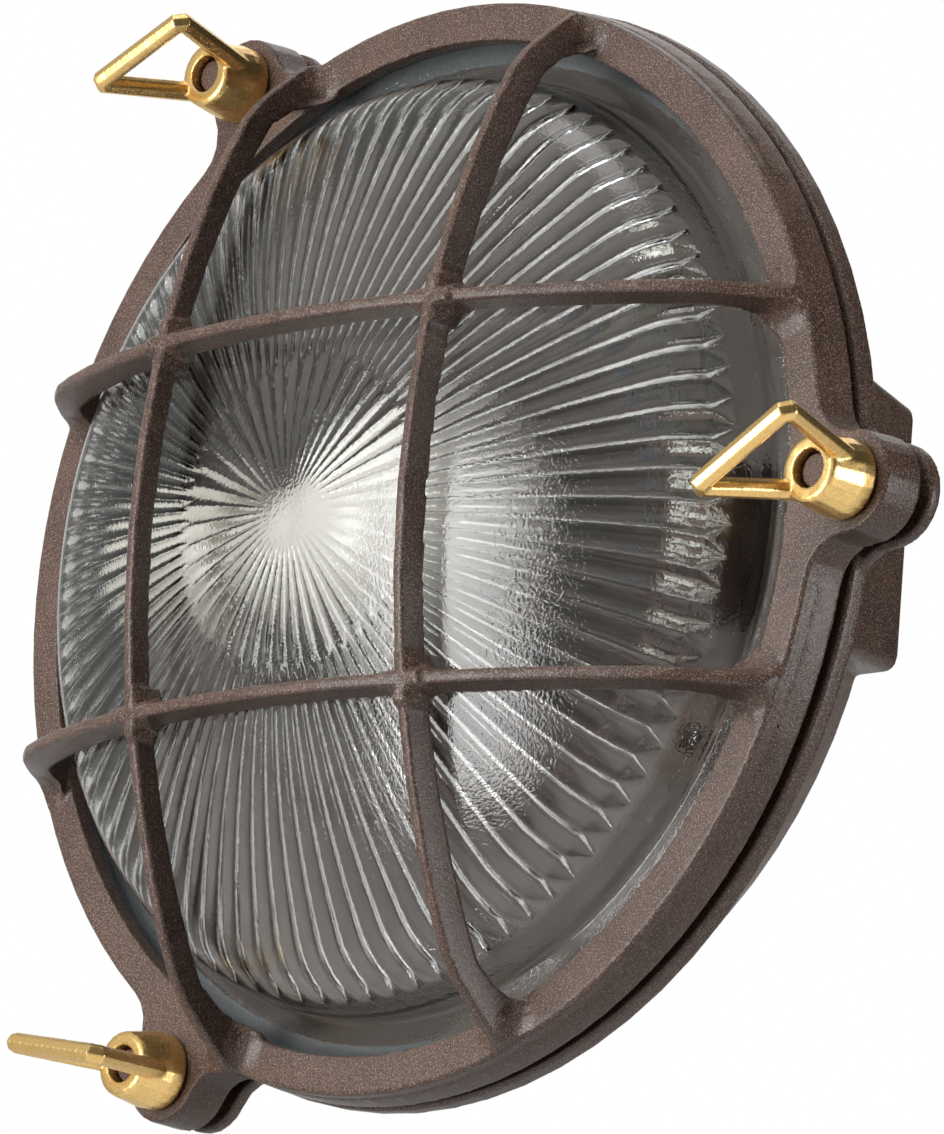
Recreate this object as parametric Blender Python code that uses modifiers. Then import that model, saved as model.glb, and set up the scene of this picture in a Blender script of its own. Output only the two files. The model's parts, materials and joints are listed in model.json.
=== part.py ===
"""Round cast bulkhead light: a caged cover with a fluted glass lens, held to a
shallow wall housing by three wing nuts, with a lamp and its wiring inside.

Metres, +Z up. The origin is the centre of the housing's back, on the wall.
The light faces -Y, and the lug at three o'clock is on +X.
"""
from math import acos, asin, atan2, cos, hypot, pi, radians, sin, sqrt

import bmesh
import bpy
from mathutils import Matrix, Vector

MM = 0.001
CLEAR = 0.3 * MM          # left between pieces that touch
MERGE = 0.01 * MM

# Levels, measured forward from the wall
FACE = 41.0 * MM          # flat front face of the guard ring
SKIRT_END = 30.7 * MM     # back edge of the guard's skirt
FLANGE = 28.5 * MM        # front face of the housing's flange
FLANGE_T = 5.2 * MM
LUG_T = 3.6 * MM          # thickness of a housing lug
LUG_SET = 1.3 * MM        # how far a housing lug's face lies behind the flange

# Guard ring
RING_R = 125.2 * MM       # front outer edge
RING_WIDTH = 8.9 * MM     # of the flat face
RING_HOLE = RING_R - RING_WIDTH
RING_DRAFT = 1.0 * MM     # growth of the side towards the back
RING_EDGE = 0.9 * MM      # rounding of the front outer edge
PLATE_T = 4.1 * MM        # front plate behind the flat face
SKIRT_WALL = 3.9 * MM

# Lugs and studs
LUG_ANGLES = (0, 120, 240)
STUD_OUT = 8.9 * MM       # studs outside the ring's edge
STUD_CIRCLE = RING_R + STUD_OUT
LUG_R = 11.5 * MM
LUG_FILLET = 10.0 * MM
STUD_R = 4.0 * MM         # M8
STUD_HOLE = 4.5 * MM

# Cage: two upright and two level bars
BAR_OFFSET = 42.75 * MM
BAR_RISE = 44.6 * MM      # ridge at mid span, in front of the ring's face
RIDGE_DROP = 27.7 * MM    # fall of the ridge from mid span to the ring's opening
BACK_DROP = 30.7 * MM
BARS = (                  # upright or level, offset, back edge in front of the ring's face
    (True, -43.5 * MM, 39.8 * MM), (True, BAR_OFFSET, 38.6 * MM),
    (False, -BAR_OFFSET, 38.4 * MM), (False, BAR_OFFSET, 38.4 * MM))
RIDGE_HALF = 1.35 * MM    # half the ridge's width
BAR_DRAFT = radians(9)
CROSS_FILLET = 4.0 * MM   # in the corners where two bars cross
FOOT_FILLET = 6.0 * MM    # from a bar's side onto the ring
FOOT_STEP = 2.5 * MM      # height at which a ridge starts on the ring's edge
RAMP_SLOPE = 1.2          # rise of the ridge over the ring
BACK_SLOPE = 2.4          # rise of the back edge from the ring's opening

FOOT = sqrt(RING_R ** 2 - BAR_OFFSET ** 2)       # along a bar to the ring's outer edge
MOUTH = sqrt(RING_HOLE ** 2 - BAR_OFFSET ** 2)    # and to its opening

# Housing
FLANGE_R = RING_R + 1.4 * MM
BODY_SET = 5.3 * MM       # body under the flange, in from its edge
BODY_R = FLANGE_R - BODY_SET
BODY_LEAN = 14.5 * MM     # taper of the body towards the wall
BACK_R = BODY_R - BODY_LEAN
SEAT_W = 9.3 * MM         # gasket seat and wall, in from the body
SEAT_R = BODY_R - SEAT_W
FLOOR_R = SEAT_R - 8.0 * MM
FLOOR_T = 3.2 * MM
FLOOR_FILLET = 6.0 * MM
BOSS_TOP, BOSS_BOTTOM = 29.1 * MM, -33.4 * MM   # cable boss behind the +X lug
BOSS_END = FLANGE_R - 3.6 * MM    # its end face under the flange
BOSS_LEAN = 8.4 * MM      # how far the end face leans in towards the wall
BOSS_TAPER = 1.6 * MM

# Glass lens, radii to the outer surface
RIM_LAP = 3.0 * MM        # rim behind the ring's face
GLASS_RIM = RING_HOLE + RIM_LAP
RIM_T = 4.0 * MM
GLASS_T = 4.2 * MM
DOME_RISE = 39.8 * MM     # top of the dome in front of the ring's face
SHOULDER_ARC = 24.5 * MM
DOME_GAP = 8.8 * MM       # between the dome's root and the ring
DOME_R = RING_HOLE - DOME_GAP
SHOULDER_R = DOME_R - SHOULDER_ARC    # radius at which the shoulder arc is centred
DOME_DROP = 27.3 * MM     # fall of the dome's cap, if it ran on to its root
DOME_ARC = (DOME_R ** 2 + DOME_DROP ** 2) / (2 * DOME_DROP)
DOME_STATIONS = (0, 0.39, 0.69, 0.82, 0.912, 0.967, 0.995)    # shares of its radius
FLUTES = 90
FLUTE_DEPTH = 1.3 * MM
FLUTE_START = 16.0 * MM
FLUTE_END = DOME_R - 5.6 * MM

# Gasket round the glass rim
LIP_BACK = 2.5 * MM
LIP_FRONT = 0.6 * MM
GASKET_WALL = 1.1 * MM    # outside the rim
GASKET_OUT = GLASS_RIM + 0.5 * MM + GASKET_WALL

# Wing nuts
NUT_BASE_R, NUT_NOSE_R = 8.9 * MM, 7.7 * MM
NUT_LENGTH = 12.5 * MM
NUT_BORE = 4.35 * MM
LOOP_BAR = 2.4 * MM       # radius of the loop's bar
LOOP_HALF = 14.4 * MM     # half the crossbar, to the corners' centres
LOOP_REACH = 20.6 * MM    # crossbar in front of the nut's nose
LOOP_ROOT = 6.4 * MM      # where a leg meets the barrel, out from its axis
LOOP_SINK = 5.5 * MM      # and back from its nose
NUT_TURN = (29.5, 22.5, -9.0)    # how far each nut is turned, degrees
STUD_SET = 2.3 * MM       # stud end below the nut's nose
STUD_HEAD_R, STUD_HEAD_T = 6.5 * MM, 3.0 * MM

# Lamp and holder, on an axis along X
LAMP_AXIS = 38.0 * MM     # from the wall
BULB_R = 30.0 * MM
CAP_R, CAP_LENGTH = 13.0 * MM, 22.0 * MM
LAMP_LENGTH = 104.0 * MM
SHELL_WALL = 0.5 * MM
HOLDER_R, HOLDER_LENGTH = 20.5 * MM, 36.5 * MM
HOLDER_BACK = 21.0 * MM - FLOOR_R
HOLDER_FRONT = HOLDER_BACK + HOLDER_LENGTH
HOLDER_BASE = 12.0 * MM   # from its back to the lamp's middle contact
BULB_X = HOLDER_BACK + HOLDER_BASE + LAMP_LENGTH - BULB_R
CONTACT_R = 4.0 * MM
BRACKET_T = 1.6 * MM
BRACKET_HALF = 13.0 * MM
BRACKET_FOOT = 26.0 * MM
BRACKET_ABOVE = 12.0 * MM    # bracket above the lamp's axis
PAD_H = 3.0 * MM          # pads on the housing's floor
PAD_R = 6.0 * MM
SCREW_R = 2.0 * MM

# Terminal block, earth point, cable entry and fixing holes
BLOCK_X, BLOCK_W, BLOCK_L, BLOCK_H = 66.0 * MM, 17.0 * MM, 34.0 * MM, 14.0 * MM
BLOCK_SCREW_R = 1.5 * MM
POLE_PITCH = (BLOCK_L - 1.6 * MM) / 3
POLE_L, POLE_W = 13.0 * MM, 4.6 * MM
WASHER_T = 0.8 * MM
EARTH_X, EARTH_Z = 48.0 * MM, 56.0 * MM
ENTRY_X, ENTRY_Z, ENTRY_R = FLOOR_R - 42.0 * MM, 60.0 * MM - FLOOR_R, 7.0 * MM
FIXING_Z, FIXING_R = FLOOR_R - 26.0 * MM, 2.8 * MM
WIRE_R = 1.3 * MM

STEPS_BIG, STEPS_LAMP, STEPS_SMALL = 72, 24, 16


def reset_scene():
    for obj in list(bpy.data.objects):
        bpy.data.objects.remove(obj, do_unlink=True)


def collection(name):
    made = bpy.data.collections.new(name)
    bpy.context.scene.collection.children.link(made)
    return made


def material(name, colour, metallic, roughness, alpha=1.0):
    made = bpy.data.materials.new(name)
    made.use_nodes = True
    shader = made.node_tree.nodes["Principled BSDF"]
    shader.inputs["Base Color"].default_value = (*colour, 1.0)
    shader.inputs["Metallic"].default_value = metallic
    shader.inputs["Roughness"].default_value = roughness
    shader.inputs["Alpha"].default_value = alpha
    return made


def tidy_mesh(name, bm):
    """Close a bmesh into a mesh with welded points and normals facing out."""
    bmesh.ops.remove_doubles(bm, verts=bm.verts, dist=MERGE)
    bmesh.ops.recalc_face_normals(bm, faces=bm.faces)
    mesh = bpy.data.meshes.new(name)
    bm.to_mesh(mesh)
    bm.free()
    mesh.shade_smooth()
    mesh.set_sharp_from_angle(angle=radians(32))
    return mesh


def add(name, mesh, where, look=None):
    obj = bpy.data.objects.new(name, mesh)
    where.objects.link(obj)
    if look:
        mesh.materials.append(look)
    return obj


def evaluated_mesh(obj):
    bpy.context.view_layer.update()
    graph = bpy.context.evaluated_depsgraph_get()
    return bpy.data.meshes.new_from_object(obj.evaluated_get(graph))


def baked(obj):
    """Replace an object's data by its evaluated mesh, welded and facing out."""
    mesh = evaluated_mesh(obj)
    bm = bmesh.new()
    bm.from_mesh(mesh)
    looks = [slot.material for slot in obj.material_slots]
    name, matrix, where = obj.name, obj.matrix_world.copy(), obj.users_collection[0]
    bpy.data.objects.remove(obj, do_unlink=True)
    new = add(name, tidy_mesh(name, bm), where)
    new.name = name
    new.matrix_world = matrix
    for look in looks:
        new.data.materials.append(look)
    return new


def turned(name, profile, where, look=None, steps=STEPS_SMALL, along="Y", phase=0.0):
    """Turn a profile of (radius, height) points about an axis, phase in steps."""
    bm = bmesh.new()
    verts = [bm.verts.new((r, h, 0) if along == "Y" else (h, r, 0)) for r, h in profile]
    closed = min(r for r, _ in profile) > MERGE
    count = len(verts)
    for i in range(count if closed else count - 1):
        bm.edges.new((verts[i], verts[(i + 1) % count]))
    turn = Matrix.Rotation(phase * 2 * pi / steps, 3, along)
    bmesh.ops.rotate(bm, verts=bm.verts, cent=(0, 0, 0), matrix=turn)
    mesh = bpy.data.meshes.new(name)
    bm.to_mesh(mesh)
    bm.free()
    obj = add(name, mesh, where, look)
    spin = obj.modifiers.new("turn", "SCREW")
    spin.axis = along
    spin.steps = spin.render_steps = steps
    spin.use_merge_vertices = True
    spin.merge_threshold = MERGE
    return baked(obj)


def rod(name, radius, low, high, where, look=None, steps=STEPS_SMALL, along="Y"):
    """A plain round rod or drill between two levels."""
    return turned(name, [(0, low), (radius, low), (radius, high), (0, high)], where, look, steps, along, 0.37)


def lofted(name, loops, where, look=None):
    """Skin a row of equal-length loops and close both ends."""
    bm = bmesh.new()
    rows = [[bm.verts.new(p) for p in loop] for loop in loops]
    for a, b in zip(rows, rows[1:]):
        for i in range(len(a)):
            j = (i + 1) % len(a)
            bm.faces.new((a[i], a[j], b[j], b[i]))
    bm.faces.new(rows[0])
    bm.faces.new(rows[-1])
    return add(name, tidy_mesh(name, bm), where, look)


def box(name, low, high, where, look=None, edge=0.0):
    low, high = Vector(low), Vector(high)
    bm = bmesh.new()
    bmesh.ops.create_cube(bm, size=1.0)
    size = high - low
    bmesh.ops.scale(bm, vec=size, verts=bm.verts)
    bmesh.ops.translate(bm, vec=(low + high) / 2, verts=bm.verts)
    if edge:
        bmesh.ops.bevel(bm, geom=bm.edges, offset=edge, segments=2, affect="EDGES", profile=0.5)
    return add(name, tidy_mesh(name, bm), where, look)


def tube(name, points, radius, where, look=None):
    """A round bar or wire along a row of points, as a welded mesh."""
    curve = bpy.data.curves.new(name, "CURVE")
    curve.dimensions = "3D"
    curve.bevel_depth = radius
    curve.bevel_resolution = 2
    curve.use_fill_caps = True
    spline = curve.splines.new("POLY")
    spline.points.add(len(points) - 1)
    for point, place in zip(spline.points, points):
        point.co = (*place, 1.0)
    obj = add(name, curve, where)
    mesh = evaluated_mesh(obj)
    bpy.data.objects.remove(obj, do_unlink=True)
    bm = bmesh.new()
    bm.from_mesh(mesh)
    return add(name, tidy_mesh(name, bm), where, look)


def boolean(target, tool, operation):
    step = target.modifiers.new(tool.name, "BOOLEAN")
    step.operation = operation
    step.object = tool
    step.solver = "EXACT"
    tool.hide_render = True
    tool.display_type = "WIRE"


def join(target, *tools):
    for tool in tools:
        boolean(target, tool, "UNION")


def cut(target, *tools):
    for tool in tools:
        boolean(target, tool, "DIFFERENCE")


def move(obj, x=0.0, y=0.0, z=0.0):
    obj.location = (x, y, z)
    return obj


def stud_places():
    return [(STUD_CIRCLE * cos(radians(a)), STUD_CIRCLE * sin(radians(a))) for a in LUG_ANGLES]


def arc(cx, cz, radius, start, end, count):
    """Points on an arc from one angle to another, both ends included."""
    return [(cx + radius * cos(start + (end - start) * i / count),
             cz + radius * sin(start + (end - start) * i / count)) for i in range(count + 1)]


def lug_edge(ring, lug, fillet, lug_steps, fillet_steps):
    """Edge of the lug on +X from one side of the ring to the other, and its half angle."""
    centre = ring + fillet
    swing = acos((centre ** 2 + STUD_CIRCLE ** 2 - (lug + fillet) ** 2) / (2 * centre * STUD_CIRCLE))
    fx, fz = centre * cos(swing), centre * sin(swing)
    lug_side = atan2(fz, fx - STUD_CIRCLE)
    upper = arc(fx, fz, fillet, lug_side + pi, swing + pi, fillet_steps)
    lower = [(x, -z) for x, z in reversed(upper)]
    nose = arc(STUD_CIRCLE, 0, lug, -lug_side, lug_side, lug_steps)
    return lower[:-1] + nose + upper[1:], swing


def turned_points(points, angle, y):
    turn = Matrix.Rotation(radians(angle), 2)
    return [Vector((p.x, y, p.y)) for p in (turn @ Vector(q) for q in points)]


def lugged_outline(ring, lug, fillet, y):
    """Outline of a round plate with a filleted lug at each stud, at depth y."""
    edge, swing = lug_edge(ring, lug, fillet, 12, 4)
    rim = arc(0, 0, ring, swing, radians(120) - swing, 26)
    return [p for angle in LUG_ANGLES for p in turned_points(edge + rim[1:-1], angle, y)]


def soft_min(a, b, blend):
    return (a + b - sqrt((a - b) ** 2 + blend ** 2)) / 2


def arched(rise, drop, t):
    """Height of a round arch at t from its middle, where it is rise high."""
    radius = (MOUTH ** 2 + drop ** 2) / (2 * drop)
    return rise - radius + sqrt(radius ** 2 - t ** 2)


def ridge_rise(t):
    """Height of a bar's ridge in front of the ring's face, t along the bar."""
    t = abs(t)
    crown = arched(BAR_RISE, RIDGE_DROP, t)
    over = FOOT - t
    step = FOOT_STEP * sqrt(min(1.0, over / (1.2 * MM)))
    return soft_min(crown, step + over * RAMP_SLOPE, 2.5 * MM)


def back_rise(t, rise):
    """Height of a bar's back edge, which curves down into the ring's opening."""
    t = abs(t)
    crown = arched(rise, BACK_DROP, t)
    return max(soft_min(crown, (MOUTH - t) * BACK_SLOPE, 2.0 * MM), 1.2 * MM - PLATE_T)


def bar_section(t, rise):
    """One slice of a bar as (half width, height) pairs, from the ridge down."""
    top, back = ridge_rise(t), back_rise(t, rise)
    step = min(1.0, max(0.0, (abs(t) - MOUTH + 3.5 * MM) / (7.0 * MM)))
    flare = FOOT_FILLET * step * step * (3 - 2 * step)
    beside = max(0.0, min(abs(abs(t) - BAR_OFFSET) - RIDGE_HALF - MM, CROSS_FILLET))
    corner = CROSS_FILLET - sqrt(CROSS_FILLET ** 2 - (CROSS_FILLET - beside) ** 2)
    low = max(back, 0.0) if flare else back
    reach = min(flare, (top - low) * 0.7)
    heights = [top, top - min(0.35 * MM, (top - low) * 0.2)]
    heights += [low + reach * share for share in (1, 0.45, 0.15, 0)]
    heights += [min(back, low - 0.2 * MM) if flare else low]
    section = []
    for h in heights:
        side = RIDGE_HALF + (top - h) * sin(BAR_DRAFT) / cos(BAR_DRAFT) + corner
        down = 1 - min(1.0, max(0.0, h - low) / reach) if reach > 0 else 0.0
        section.append((side + flare * (1 - sqrt(1 - down ** 2)), h))
    section[0] = (section[0][0] - 0.45 * MM, top)
    return section


def make_bar(name, where, upright, offset, rise):
    """One bar of the cage, skinned through slices along its length."""
    around = [RIDGE_HALF + MM + share * CROSS_FILLET for share in (0, 0.35, 1.01)]
    marks = [0, 20 * MM]
    marks += [BAR_OFFSET - d for d in reversed(around)] + [BAR_OFFSET + d for d in around]
    marks += [MOUTH * share for share in (0.59, 0.74, 0.85, 0.925)]
    marks += [MOUTH + d * MM for d in (-3.4, -1.4, 0.6, 2.8, 5.8)] + [FOOT - 0.9 * MM, FOOT - 0.3 * MM]
    loops = []
    for t in [-m for m in reversed(marks[1:])] + marks:
        section = bar_section(t, rise)
        slice_ = section + [(-w, h) for w, h in reversed(section)]
        places = [(offset + w, -FACE - h) for w, h in slice_]
        loops.append([Vector((a, y, t) if upright else (t, y, a)) for a, y in places])
    return lofted(name, loops, where)


def make_guard(parts, tools, look):
    levels = [(FACE, -RING_EDGE), (FACE - RING_EDGE * 0.3, -RING_EDGE * 0.3), (FACE - RING_EDGE, 0),
              (SKIRT_END, RING_DRAFT)]
    loops = [lugged_outline(RING_R + grow, LUG_R + grow * 0.4, LUG_FILLET - grow, -level)
             for level, grow in levels]
    guard = lofted("front_guard", loops, parts, look)
    inner = RING_R - SKIRT_WALL
    hole = turned("guard_hole", [(0, -FACE - MM), (RING_HOLE, -FACE - MM), (RING_HOLE, -FACE + PLATE_T),
                                 (inner, -FACE + PLATE_T), (inner, -SKIRT_END + MM), (0, -SKIRT_END + MM)],
                  tools, steps=STEPS_BIG)
    cut(guard, hole)
    for x, z in stud_places():
        cut(guard, move(rod("guard_bore", STUD_HOLE, -FACE - MM, -SKIRT_END + MM, tools), x, 0, z))
    for upright, offset, rise in BARS:
        join(guard, make_bar("guard_bar", tools, upright, offset, rise))
    return guard


def body_radius(level):
    """Outer radius of the housing's cone at a level in front of the wall."""
    return BACK_R + (BODY_R - BACK_R) * level / (FLANGE - FLANGE_T)


def make_housing(parts, tools, look):
    back, edge = FLANGE - FLANGE_T, 0.6 * MM
    corner = arc(FLOOR_R - FLOOR_FILLET, FLOOR_T + FLOOR_FILLET, FLOOR_FILLET, 0, -pi / 2, 3)
    body = turned("rear_housing", [
        (0, 0), (BACK_R - 1.2 * MM, 0), (body_radius(1.2 * MM), -1.2 * MM),
        (BODY_R, -back), (FLANGE_R - edge, -back), (FLANGE_R, -back - edge), (FLANGE_R, -FLANGE + edge),
        (FLANGE_R - edge, -FLANGE), (SEAT_R, -FLANGE)] + [(r, -h) for r, h in corner] + [(0, -FLOOR_T)],
        parts, look, STEPS_BIG)
    front = FLANGE - LUG_SET
    for angle in LUG_ANGLES:
        loops = []
        for level, shrink in ((front, edge), (front - edge, 0), (front - LUG_T + edge, 0), (front - LUG_T, edge)):
            outline, _ = lug_edge(FLANGE_R - MM - shrink, LUG_R - shrink, LUG_FILLET + shrink, 12, 4)
            root = [(SEAT_R + 6 * MM, outline[-1][1] * 0.96), (SEAT_R + 6 * MM, outline[0][1] * 0.96)]
            loops.append(turned_points(outline + root, angle, -level))
        join(body, lofted("lug", loops, tools))
    join(body, lofted("cable_boss", [boss_loop(0.9 * MM, BOSS_END - BOSS_LEAN, BOSS_TAPER, 2.2 * MM),
                                     boss_loop(back + MM, BOSS_END, 0.0, 4.5 * MM)], tools))
    top = FLOOR_T + PAD_H
    screws = bracket_screw_places()
    pads = [(x, z, PAD_R, top) for x, z in screws + [(EARTH_X, EARTH_Z)]]
    pads += [(BLOCK_X, 0, PAD_R + 3 * MM, top), (ENTRY_X, ENTRY_Z, ENTRY_R + 5 * MM, FLOOR_T + 1.2 * MM)]
    pads += [(0, side * FIXING_Z, PAD_R + 2 * MM, FLOOR_T + 1.5 * MM) for side in (-1, 1)]
    for x, z, radius, height in pads:
        pad = turned("pad", [(0, -FLOOR_T / 2), (radius + 0.6 * MM, -FLOOR_T / 2), (radius, -height),
                             (0, -height)], tools, phase=0.37)
        join(body, move(pad, x, 0, z))
    holes = [(x, z, STUD_HOLE - 0.15 * MM, back - 4 * MM, FLANGE + MM) for x, z in stud_places()]
    holes += [(x, z, SCREW_R + CLEAR, 1.6 * MM, top + MM) for x, z in screws + [(EARTH_X, EARTH_Z)]]
    holes += [(x, z, BLOCK_SCREW_R + CLEAR, 1.6 * MM, top + MM) for x, z in block_screw_places()]
    holes += [(0, side * FIXING_Z, FIXING_R, -MM, 8 * MM) for side in (-1, 1)]
    holes += [(ENTRY_X, ENTRY_Z, ENTRY_R, -MM, 8 * MM)]
    for x, z, radius, low, high in holes:
        cut(body, move(rod("hole", radius, -high, -low, tools, steps=18 if radius > STUD_R else 12), x, 0, z))
    return body


def boss_loop(level, end, taper, sink):
    """Outline of the cable boss at one level, its root sunk in the cone's wall."""
    radius = 3.2 * MM
    top, bottom = BOSS_TOP - taper, BOSS_BOTTOM + taper
    root = body_radius(level) - sink
    outline = arc(end - radius, bottom + radius, radius, -pi / 2, 0, 4)
    outline += arc(end - radius, top - radius, radius, 0, pi / 2, 4)
    outline += arc(0, 0, root, asin(top / root), asin(bottom / root), 8)
    return [Vector((x, -level, z)) for x, z in outline]


def bracket_screw_places():
    x = HOLDER_BACK + BRACKET_FOOT * 0.62
    return [(x, side * 8 * MM) for side in (-1, 1)]


def block_screw_places():
    return [(BLOCK_X, side * POLE_PITCH / 2) for side in (-1, 1)]


def glass_levels():
    """Where the glass rim lies: its back face and its front face, from the wall."""
    back = FLANGE + CLEAR + LIP_BACK + CLEAR
    return back, back + RIM_T


def dome_height(radius):
    """Outer surface of the dome, measured from the wall."""
    cap_centre = FACE + DOME_RISE - DOME_ARC
    reach = DOME_ARC - SHOULDER_ARC
    shoulder_centre = cap_centre + sqrt(reach ** 2 - SHOULDER_R ** 2)
    joint = SHOULDER_R * DOME_ARC / reach
    if radius <= joint:
        return cap_centre + sqrt(DOME_ARC ** 2 - radius ** 2)
    return shoulder_centre + sqrt(max(SHOULDER_ARC ** 2 - (radius - SHOULDER_R) ** 2, 0))


def inner_height(radius):
    return dome_height(radius) - GLASS_T / max(slope_cos(radius), 0.5)


def make_glass(parts, tools, look):
    """The lens, hollowed by a fluted tool that leaves prisms inside."""
    back, front = glass_levels()
    outer = [(r, -dome_height(r)) for r in (DOME_R * share for share in DOME_STATIONS)]
    root = outer[-1][0]
    lens = turned("glass_lens", outer + [
        (root + MM, -front), (GLASS_RIM - 0.5 * MM, -front), (GLASS_RIM, -front + 0.5 * MM),
        (GLASS_RIM, -back), (0, -back)], parts, look, FLUTES, phase=0.25)
    wall = DOME_R - GLASS_T
    radii = [0, FLUTE_START, FLUTE_END * 0.5, FLUTE_END * 0.82, FLUTE_END - 2.5 * MM, FLUTE_END, wall - 0.5 * MM]
    hollow = turned("glass_hollow", [(r, -inner_height(r)) for r in radii] + [
        (wall, -front), (wall, -back + MM), (0, -back + MM)], tools, steps=2 * FLUTES)
    for vert in hollow.data.vertices:
        x, y, z = vert.co
        radius = hypot(x, z)
        fluted = FLUTE_START - MM < radius < FLUTE_END - MM and -y > front
        if fluted and round(atan2(z, x) / pi * FLUTES) % 2 == 0:
            vert.co.y -= FLUTE_DEPTH * min(1.0, radius / (45 * MM))
    cut(lens, hollow)
    return lens


def slope_cos(radius):
    step = 0.2 * MM
    rise = (dome_height(radius) - dome_height(radius + step)) / step
    return 1 / sqrt(1 + rise * rise)


def make_gasket(parts, look):
    back, front = glass_levels()
    lip_back = FLANGE + CLEAR
    lip_front = front + CLEAR + LIP_FRONT
    rim = GLASS_RIM + 0.5 * MM
    return turned("lens_gasket", [
        (SEAT_R + 0.4 * MM, -lip_back), (GASKET_OUT, -lip_back), (GASKET_OUT, -lip_front),
        (RING_HOLE + 0.5 * MM, -lip_front), (RING_HOLE + 0.5 * MM, -lip_front + LIP_FRONT),
        (rim, -lip_front + LIP_FRONT), (rim, -lip_back - LIP_BACK),
        (SEAT_R + 0.4 * MM, -lip_back - LIP_BACK)], parts, look, 60)


def make_studs(parts, look):
    end = FACE + CLEAR + NUT_LENGTH - STUD_SET
    head = FLANGE - LUG_SET - LUG_T - CLEAR
    tail = head - STUD_HEAD_T
    for number, (x, z) in enumerate(stud_places(), 1):
        stud = turned(f"stud_{number}", [
            (0, -end), (STUD_R - 0.7 * MM, -end), (STUD_R, -end + 0.7 * MM), (STUD_R, -head),
            (STUD_HEAD_R, -head), (STUD_HEAD_R, -tail - 0.8 * MM), (STUD_HEAD_R - 0.8 * MM, -tail), (0, -tail)],
            parts, look)
        move(stud, x, 0, z)


def make_nuts(parts, tools, look):
    """Cast nuts, each a barrel with a four-sided loop of round bar in front."""
    base = FACE + CLEAR
    nose = base + NUT_LENGTH
    corners = [Vector((-LOOP_ROOT, -nose + LOOP_SINK, 0)), Vector((-LOOP_HALF, -nose - LOOP_REACH, 0)),
               Vector((LOOP_HALF, -nose - LOOP_REACH, 0)), Vector((LOOP_ROOT, -nose + LOOP_SINK, 0))]
    for number, ((x, z), turn) in enumerate(zip(stud_places(), NUT_TURN), 1):
        nut = turned(f"wing_nut_{number}", [
            (0, -nose), (NUT_NOSE_R - 1.2 * MM, -nose), (NUT_NOSE_R - 0.3 * MM, -nose + 0.4 * MM),
            (NUT_NOSE_R, -nose + 1.4 * MM), (NUT_BASE_R, -base - 4.0 * MM), (NUT_BASE_R, -base - 0.5 * MM),
            (NUT_BASE_R - 0.5 * MM, -base), (0, -base)], parts, look, 22)
        loop = tube("nut_loop", rounded_path(corners, 1.6 * MM), LOOP_BAR, tools)
        bore = rod("nut_bore", NUT_BORE, -nose - MM, -base + MM, tools)
        join(nut, loop)
        cut(nut, bore)
        for obj in (nut, loop, bore):
            obj.rotation_euler = (0, -radians(turn), 0)
            move(obj, x, 0, z)


def rounded_path(corners, radius):
    """Cut each inner corner of a path short, so that a bar bends round it."""
    path = [corners[0]]
    for before, here, after in zip(corners, corners[1:], corners[2:]):
        path.append(here + (before - here).normalized() * radius)
        path.append(here + (after - here).normalized() * radius)
    path.append(corners[-1])
    return path


def lamp_ends():
    """The bulb's tip and the middle contact at the other end, along X."""
    tip = BULB_X + BULB_R
    return tip, tip - LAMP_LENGTH


def make_lamp(parts, look):
    tip, end = lamp_ends()
    top = end + 3.5 * MM + CAP_LENGTH
    neck = [(CAP_R + MM, top + 3 * MM), (17.5 * MM, top + 14 * MM), (22.5 * MM, top + 22 * MM)]
    start = pi - asin(24.5 * MM / BULB_R)
    bulb = [(BULB_R * sin(start * (1 - k / 8)), BULB_X + BULB_R * cos(start * (1 - k / 8))) for k in range(8)]
    lamp = turned("lamp", [(0, end), (CONTACT_R, end), (CAP_R - 3 * MM, end + 3.5 * MM), (CAP_R, end + 4.5 * MM),
                           (CAP_R, top)] + neck + bulb + [(0, tip)], parts, look, STEPS_LAMP, "X")
    return move(lamp, 0, -LAMP_AXIS, 0)


def make_holder(parts, looks):
    """Porcelain body with its threaded shell and middle contact."""
    _, end = lamp_ends()
    inside = CAP_R + CLEAR
    outside = inside + SHELL_WALL
    bore = outside + CLEAR
    floor = end - 5.0 * MM
    seat = floor + CLEAR
    mouth = HOLDER_FRONT - MM
    pieces = [
        ("lampholder_body", looks["porcelain"], STEPS_LAMP, [
            (0, HOLDER_BACK), (HOLDER_R - 4 * MM, HOLDER_BACK), (HOLDER_R, HOLDER_BACK + 5 * MM),
            (HOLDER_R, HOLDER_FRONT - 5 * MM), (HOLDER_R - 2 * MM, HOLDER_FRONT), (bore, HOLDER_FRONT),
            (bore, floor), (0, floor)]),
        ("lampholder_shell", looks["brass"], STEPS_LAMP, [
            (inside, mouth), (outside, mouth), (outside, seat), (9 * MM, seat), (9 * MM, seat + SHELL_WALL),
            (inside, seat + SHELL_WALL)]),
        ("centre_contact", looks["brass"], STEPS_SMALL, [
            (0, seat), (5.5 * MM, seat), (5.5 * MM, seat + 1.2 * MM), (CONTACT_R, seat + 1.7 * MM),
            (CONTACT_R, end - CLEAR), (0, end - CLEAR)])]
    for name, look, steps, profile in pieces:
        move(turned(name, profile, parts, look, steps, "X"), 0, -LAMP_AXIS, 0)


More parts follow.
